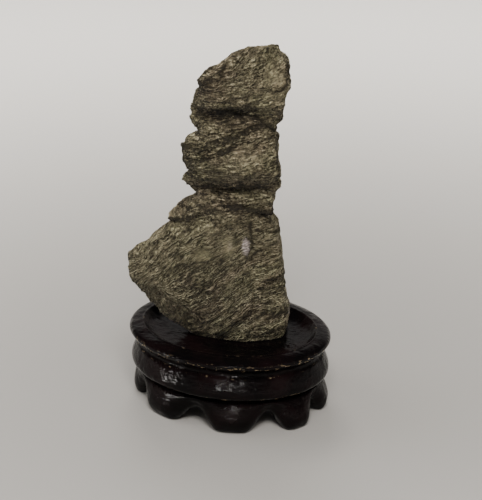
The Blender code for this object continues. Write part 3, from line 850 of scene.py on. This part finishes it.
LIGHT_AND_TONE_FACING = (-1, 4)
LIGHT_AND_TONE_FRAY = 0.5
LIGHT_AND_TONE_FRAY_SIZE = 5
# Pale mineral patches and chips: (u, v, height, radius along u, radius along the height, strength).
PALE_PATCHES = (
    (9.4, -18, 99.4, 2.4, 5.0, 1.0), (1.0, -18, 100.5, 1.4, 3.4, 0.12), (-31.8, -5, 50.2, 1.5, 1.2, 0.8),
    (-21.7, -5, 42.8, 1.9, 1.1, 0.8), (33.0, 2, 88, 1.6, 5.0, 0.45), (33.4, 2, 55, 1.4, 5.0, 0.4),
    (-38, 12, 84, 2.5, 3.5, 0.5), (8, 16, 150, 3.0, 2.0, 0.4),
)
PALE_REACH_BACK = 9
PALE_FRAY = ((1.5, 1.3, 50), (3.4, 0.8, 20))
PALE_EDGE = (0, 0.5)


def table_at(rows, places):
    """A table's other columns, read off between its rows at these places along its first column."""
    table = np.array(rows, float)
    return np.stack([np.interp(places, table[:, 0], column) for column in table[:, 1:].T], axis=-1)


def outline_at(corners, count):
    """count points, evenly spaced, on a closed curve through the corners (given for every height)."""
    steps = np.linspace(0, 1, CURVE_STEPS, endpoint=False)[None, :, None]
    pieces = []
    for k in range(len(RIBS)):
        a, b, c, d = (corners[:, (k + j) % len(RIBS)][:, None] for j in (-1, 0, 1, 2))
        curve = b + steps / 2 * (c - a + steps * (2 * a - 5 * b + 4 * c - d + steps * (3 * (b - c) + d - a)))
        straight = b + steps * (c - b)
        pieces.append(CRISPNESS * straight + (1 - CRISPNESS) * curve)
    curve = np.concatenate(pieces, axis=1)
    closed = np.concatenate((curve, curve[:, :1]), axis=1)
    run = np.linalg.norm(np.diff(closed, axis=1), axis=2)
    rows = []
    for line, lengths in zip(closed, run):
        way = np.concatenate(((0,), np.cumsum(lengths)))
        stops = np.linspace(0, way[-1], count, endpoint=False)
        rows.append(np.stack((np.interp(stops, way, line[:, 0]), np.interp(stops, way, line[:, 1])), axis=-1))
    return np.array(rows)


def level_heights(count):
    """Heights up the stone, closer together where its ribs move in or out quickly."""
    fine = np.linspace(STONE_FOOT, STONE_TOP, HEIGHT_SAMPLES)
    ribs = np.stack([table_at(rib, fine) for rib in RIBS], axis=1)
    sideways = np.abs(np.diff(ribs, axis=0)).sum(2).mean(1)
    travel = np.concatenate(((0,), np.cumsum(np.hypot(np.diff(fine), sideways))))
    return np.interp(np.linspace(0, travel[-1], count), travel, fine)


def layer_coordinates(points):
    """(along the layers, depth, place across the layers) for each point, all in millimetres."""
    u, v, z = np.moveaxis(points, -1, 0)
    left, right = np.moveaxis(table_at(LAYER_CLIMBS, z), -1, 0)
    rise = left * (np.minimum(u, CLIMB_BEND) - CLIMB_CENTRE) + right * np.maximum(u - CLIMB_BEND, 0)
    across = z - rise + mixed_noise(points, LAYER_BENDS)
    for centre, height, radius in WHORLS:
        away = np.hypot(u - centre, z - height)
        curl = np.exp(-((away / radius) ** 2))
        across = across * (1 - curl) + (away * WHORL_SPREAD + height) * curl
    return np.stack((u + LAYER_SHEAR * z, v, across), axis=-1)


def from_place(points, u, z, wide, high):
    """How far each point is from a place on the face, squared, where 1 is at the place's own radii."""
    return ((points[..., 0] - u) / wide) ** 2 + ((points[..., 2] - z) / high) ** 2


def smooth_share(points):
    """How smooth the stone is at each point, from 0 where it is flaky to 1."""
    total = np.zeros(points.shape[:-1])
    for side, u, z, wide, high, share in SMOOTH_PLACES:
        away = from_place(points, u, z, wide, high)
        total = np.maximum(total, share * np.exp(-away * away) * smooth_step(points[..., 1] * side, *FACING))
    return total


def on_line(u, z, line, half_width):
    """1 on a run of straight pieces, fading to 0 over about two half widths."""
    near = np.full_like(u, np.inf)
    for (u0, z0), (u1, z1) in zip(line, line[1:]):
        du, dz = u1 - u0, z1 - z0
        along = np.clip(((u - u0) * du + (z - z0) * dz) / (du * du + dz * dz), 0, 1)
        near = np.minimum(near, np.hypot(u - u0 - along * du, z - z0 - along * dz))
    return np.exp(-((near / half_width) ** 2))


def crack_share(points):
    """How deep the named cracks are at each point, from 0 away from them to about 1."""
    moved = CRACK_WAVER * noises(points / CRACK_WAVER_SIZE, (5, 23))
    u, z = points[..., 0] + moved[..., 0], points[..., 2] + moved[..., 1]
    facing = smooth_step(-points[..., 1], *FACING)
    total = np.zeros_like(u)
    for line in CRACKS:
        total = np.maximum(total, facing * on_line(u, z, line, CRACK_HALF_WIDTH))
    mean, change, size = CRACK_STRENGTH
    return total * (mean + change * noise(points / size + 70))


def groove_depth(points):
    """How deep the named grooves cut at each point."""
    u, v, z = np.moveaxis(points, -1, 0)
    depth = np.zeros_like(u)
    for side, half_width, most, line in GROOVES:
        facing = smooth_step(v * side, *FACING)
        depth = np.maximum(depth, most * facing * on_line(u, z, line, half_width))
    return depth


def ledge_profile(place, edge):
    """A saw along the layers: how far each point is through its ledge, and how far it stands out (0 to 1)."""
    saw = place - np.floor(place)
    return saw, np.minimum(saw / edge, (1 - saw) / (1 - edge))


def broad_relief(points, layers):
    """Ledges and lumps a few millimetres across."""
    along = layers / LAYER_SIZE
    ledge = noise(along * LEDGE_CLOSENESS) * LEDGE_SHARE
    tread = ledge_profile(along[..., 2], TREAD_EDGE)[1]
    out = LAYER_RELIEF * (ledge + (tread - 0.5) * (TREAD_SHARE + noise(along / 2)))
    return out + LUMP_RELIEF * noise(points / LUMP_SIZE + 40)


def flake_relief(points, layers):
    """The finer forms' height, about -1.5 to 1 mm, and how deep each point lies in a crease (0 to 1)."""
    bent = layers + noises(points / WAVER_SIZE, (3, 17, 31)) * WAVER
    flaky = smooth_step(points[..., 2], *FLAKY_ABOVE)
    total, crease = 0, 0
    for k, (spacing, deep) in enumerate(TERRACES):
        bend = TERRACE_BEND * noise(points / (spacing * TERRACE_BEND_SIZE) + 21 * k)
        saw, profile = ledge_profile(bent[..., 2] / spacing + bend, LEDGE_EDGE)
        strength = TERRACE_STRENGTH[0] + TERRACE_STRENGTH[1] * noise(layers / TERRACE_PATCH + 7 * k)
        share = np.clip(strength, *TERRACE_LIMITS) * (1 - TERRACE_LOST_AMONG_FLAKES * flaky)
        total = total + share * deep * (profile - 0.5)
        valley = smooth_step(np.minimum(saw, 1 - saw), 0, TERRACE_CREASE / spacing)
        crease = np.maximum(crease, np.minimum(share, 1) * (1 - valley))
    share = FLAKE_STRENGTH[0] + FLAKE_STRENGTH[1] * flaky
    for k, (length, height, deep, uneven) in enumerate(FLAKES):
        inside, lift = flakes(bent / (length, length, height), 13.7 * k)
        back = smooth_step(inside, 0, FLAKE_SHOULDER) - FLAKE_LEVEL
        total = total + share * (deep * back + uneven * np.clip(lift, -FLAKE_LIFT, FLAKE_LIFT))
        crease = np.maximum(crease, FLAKE_CREASE * share * (1 - smooth_step(inside, 0, FLAKE_CREASE_WIDTH)))
    away = np.abs(noise(bent / WRINKLE_SIZE + 40))
    total = total + WRINKLE_DEPTH * (smooth_step(away, 0, WRINKLE_WIDTH) - WRINKLE_LEVEL)
    crease = np.maximum(crease, 1 - smooth_step(away, 0, WRINKLE_CREASE * WRINKLE_WIDTH))
    return total, crease


def overhang_depth(points):
    """How far the stone steps in under the named overhangs, and how strong the painted shadow line under each
    is (0 to 1).
    """
    u, v, z = np.moveaxis(points, -1, 0)
    fray = mixed_noise(points, OVERHANG_WAVER)
    depth, shadow_line_share = np.zeros_like(u), np.zeros_like(u)
    for side, most, reach, line in OVERHANGS:
        below = table_at(line, u)[..., 0] + fray - z
        ends = smooth_step(u - line[0][0], *OVERHANG_ENDS) * smooth_step(line[-1][0] - u, *OVERHANG_ENDS)
        share = ends * smooth_step(v * side, *OVERHANG_FACING)
        shape = smooth_step(below, *OVERHANG_EDGE) * np.exp(-np.maximum(below, 0) / reach)
        depth = np.maximum(depth, most * share * shape)
        from_line = (below - SHADOW_LINE_DROP) / SHADOW_LINE_WIDTH
        shadow_line_share = np.maximum(shadow_line_share, share * np.exp(-(from_line ** 2)))
    return depth, shadow_line_share


def painted_side_shade(grid):
    """The painted shade on the narrow faces down the stone's upper right edge."""
    facing = smooth_step(surface_normals(grid)[..., 0], *SIDE_FACING)
    return SIDE_PAINTED_SHADE * facing * smooth_step(grid[..., 2], *SIDE_HEIGHTS)


def painted_light_and_tone(points):
    """How much lighter or darker the stone is painted at each point, partly painted light and shade, partly
    its tone.
    """
    fray = LIGHT_AND_TONE_FRAY * noise(points / LIGHT_AND_TONE_FRAY_SIZE + 80)
    total = np.zeros(points.shape[:-1])
    for side, u, z, wide, high, amount in LIGHT_AND_TONE_PLACES:
        facing = smooth_step(points[..., 1] * side, *LIGHT_AND_TONE_FACING)
        total = total + amount * np.exp(-from_place(points, u, z, wide, high) * (1 + fray)) * facing
    return total


def pale_share(points):
    """How much of the pale mineral shows at each point."""
    fray = mixed_noise(points, PALE_FRAY)
    total = np.zeros(points.shape[:-1])
    for u, v, z, wide, high, strength in PALE_PATCHES:
        away = from_place(points, u, z, wide, high) + ((points[..., 1] - v) / PALE_REACH_BACK) ** 4
        total = np.maximum(total, strength * smooth_step(1 - away + fray, *PALE_EDGE))
    return total


def stone_surface(rows, columns):
    """The stone's points, with what its material needs at each point."""
    heights = level_heights(rows)
    corners = np.stack([table_at(rib, heights) for rib in RIBS], axis=1)
    rings = outline_at(corners, columns)
    grid = np.concatenate((rings, np.broadcast_to(heights[:, None, None], rings.shape[:2] + (1,))), axis=2)
    fade = smooth_step(grid[..., 2], STONE_FOOT, STONE_FOOT + FOOT_FADE)
    layers = layer_coordinates(grid)
    groove = groove_depth(grid)
    smooth = smooth_share(grid)
    overhang, shadow_line = overhang_depth(grid)
    crack_and_shadow_line = np.maximum(crack_share(grid), SHADOW_LINE_SHARE * shadow_line)
    grid += surface_normals(grid) * ((broad_relief(grid, layers) - groove) * fade)[..., None]
    relief, crease = flake_relief(grid, layers)
    sideways = 1 - smooth_step(np.abs(surface_normals(grid)[..., 1]), *SIDEWAYS)
    relief = relief * (1 - SMOOTHED_RELIEF * smooth) * (1 - SIDE_RELIEF_LOST * sideways)
    grid += surface_normals(grid) * ((relief - overhang - CRACK_DEPTH * crack_and_shadow_line) * fade)[..., None]
    from_knob = np.hypot(grid[..., 0] - KNOB_PLACE[0], grid[..., 1] - KNOB_PLACE[1])
    knob = KNOB_RISE * np.exp(-((from_knob / KNOB_RADIUS) ** 2))
    grid[..., 2] += knob * smooth_step(grid[..., 2], *KNOB_HEIGHTS)
    grid[0, :, 2] = STONE_FOOT
    low_down = 1 - smooth_step(grid[..., 2], *LOW_GRAIN_HEIGHTS)
    looks = {
        "relief": relief,
        "crease": crease * (1 - SMOOTHED_CREASE * smooth),
        "groove": groove,
        "crack_and_shadow_line": crack_and_shadow_line,
        "smooth": smooth,
        "pale": pale_share(grid),
        "flaky": smooth_step(grid[..., 2], *FLAKY_ABOVE),
        "painted_light_and_tone": painted_light_and_tone(grid) - OVERHANG_PAINTED_SHADE * overhang - painted_side_shade(grid),
        "grain": 1 - SMOOTHED_GRAIN * smooth + LOW_GRAIN * low_down,
    }
    return grid, layers, looks


def make_stone():
    grid, layers, looks = stone_surface(STONE_ROWS, STONE_COLUMNS)
    points = on_stand(grid).reshape(-1, 3)
    faces = ring_faces(STONE_ROWS, STONE_COLUMNS)
    foot = points[:STONE_COLUMNS].mean(0)
    crown = points[-STONE_COLUMNS:].mean(0) + (0, 0, CROWN_RISE)
    points = np.concatenate((points, foot[None], crown[None]))
    last = (STONE_ROWS - 1) * STONE_COLUMNS
    for k in range(STONE_COLUMNS):
        right = (k + 1) % STONE_COLUMNS
        faces.append((right, k, len(points) - 2))
        faces.append((last + k, last + right, len(points) - 1))
    made = add_mesh("stone_surface", points, faces, stone_material())
    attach(made, "root")
    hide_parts("stone")
    for name, values in looks.items():
        store(made.data, name, np.concatenate((values.ravel(), (0.0, 0.0))))
    flat = layers.reshape(-1, 3)
    store(made.data, "layers", np.concatenate((flat, flat[:1], flat[-1:])))
    return made


# ---- floor, backdrop and light ----

FLOOR_COLOUR = (0.215, 0.206, 0.193)
FLOOR_ROUGHNESS = 0.85
# The floor curves up into a round wall, far behind every view: (radius, height).
FLOOR_PROFILE = ((500, 0), (1250, 0), (1500, 25), (1700, 100), (1850, 240), (1930, 450), (1960, 800),
                 (1970, 1800))
FLOOR_SIDES = 96
WORLD_COLOUR = (0.95, 0.97, 1.0)
WORLD_STRENGTH = 0.045
# Lights aimed at the object: (name, turn from the camera, rise, distance, width, height, power, mirrored).
# Those that aren't mirrored give soft light, and a mirrored one shows only in the gloss.
LIGHTS = (
    ("key", 5, 51, 690, 220, 220, 7.9, False),
    ("back key", -172, 52, 760, 300, 300, 4.6, False),
    ("window on the left", -105, 38, 900, 500, 400, 4.3, False),
    ("front window", -13, 9, 900, 240, 6, 2.9, True),
    ("tall window", -66, -4, 900, 28, 100, 2.6, True),
    ("room behind", 176, 24, 1500, 1800, 330, 1.8, True),
)
LIGHT_COLOUR = (1.0, 0.98, 0.95)
# Lamps all round, facing down and outwards: they light the floor and wall behind the object, not the object.
FLOOR_LAMPS = 6
FLOOR_LAMP_RADIUS = 950
FLOOR_LAMP_HEIGHT = 900
FLOOR_LAMP_AIM_RADIUS = 1230
FLOOR_LAMP_SIZE = 900
FLOOR_LAMP_POWER = 35.0
FLOOR_LAMP_SPREAD = math.radians(120)


def make_stage():
    """A round floor that curves up into a wall, wide enough for every view."""
    material = bpy.data.materials.new("pale floor")
    material.use_nodes = True
    shader = material.node_tree.nodes["Principled BSDF"]
    shader.inputs["Base Color"].default_value = (*FLOOR_COLOUR, 1)
    shader.inputs["Roughness"].default_value = FLOOR_ROUGHNESS
    turns = np.linspace(0, 2 * math.pi, FLOOR_SIDES, endpoint=False)
    points = []
    for radius, height in FLOOR_PROFILE:
        points += [(radius * math.cos(t), radius * math.sin(t), height) for t in turns]
    faces = [tuple(reversed(face)) for face in ring_faces(len(FLOOR_PROFILE), FLOOR_SIDES)]
    faces.append(tuple(range(FLOOR_SIDES)))
    add_mesh("floor", np.array(points), faces, material)


def make_light(name, width, height, power):
    data = bpy.data.lights.new(name, "AREA")
    data.shape = "RECTANGLE"
    data.size = width * MM
    data.size_y = height * MM
    data.energy = power
    data.color = LIGHT_COLOUR
    light = add_object(name, data)
    light.visible_camera = False
    return light


def make_lights():
    world = bpy.data.worlds.new("soft room")
    world.use_nodes = True
    background = world.node_tree.nodes["Background"]
    background.inputs["Color"].default_value = (*WORLD_COLOUR, 1)
    background.inputs["Strength"].default_value = WORLD_STRENGTH
    bpy.context.scene.world = world
    target = Vector((*STONE_PLACE, TARGET_HEIGHT)) * MM
    for name, turn, rise, distance, width, height, power, mirrored in LIGHTS:
        towards = from_view(turn, rise)
        light = make_light(name, width, height, power)
        light.location = target + towards * distance * MM
        light.rotation_euler = towards.to_track_quat("Z", "Y").to_euler()
        light.visible_glossy = mirrored
        light.visible_diffuse = not mirrored
    for k in range(FLOOR_LAMPS):
        outward = from_view(360 * (k + 0.5) / FLOOR_LAMPS, 0)
        place = outward * FLOOR_LAMP_RADIUS + Vector((0, 0, FLOOR_LAMP_HEIGHT))
        light = make_light(f"floor lamp {k + 1}", FLOOR_LAMP_SIZE, FLOOR_LAMP_SIZE, FLOOR_LAMP_POWER)
        light.location = place * MM
        light.rotation_euler = (place - outward * FLOOR_LAMP_AIM_RADIUS).to_track_quat("Z", "Y").to_euler()
        light.data.spread = FLOOR_LAMP_SPREAD
        light.visible_glossy = False


make_camera()
make_stage()
make_lights()
make_stand()
make_stone()
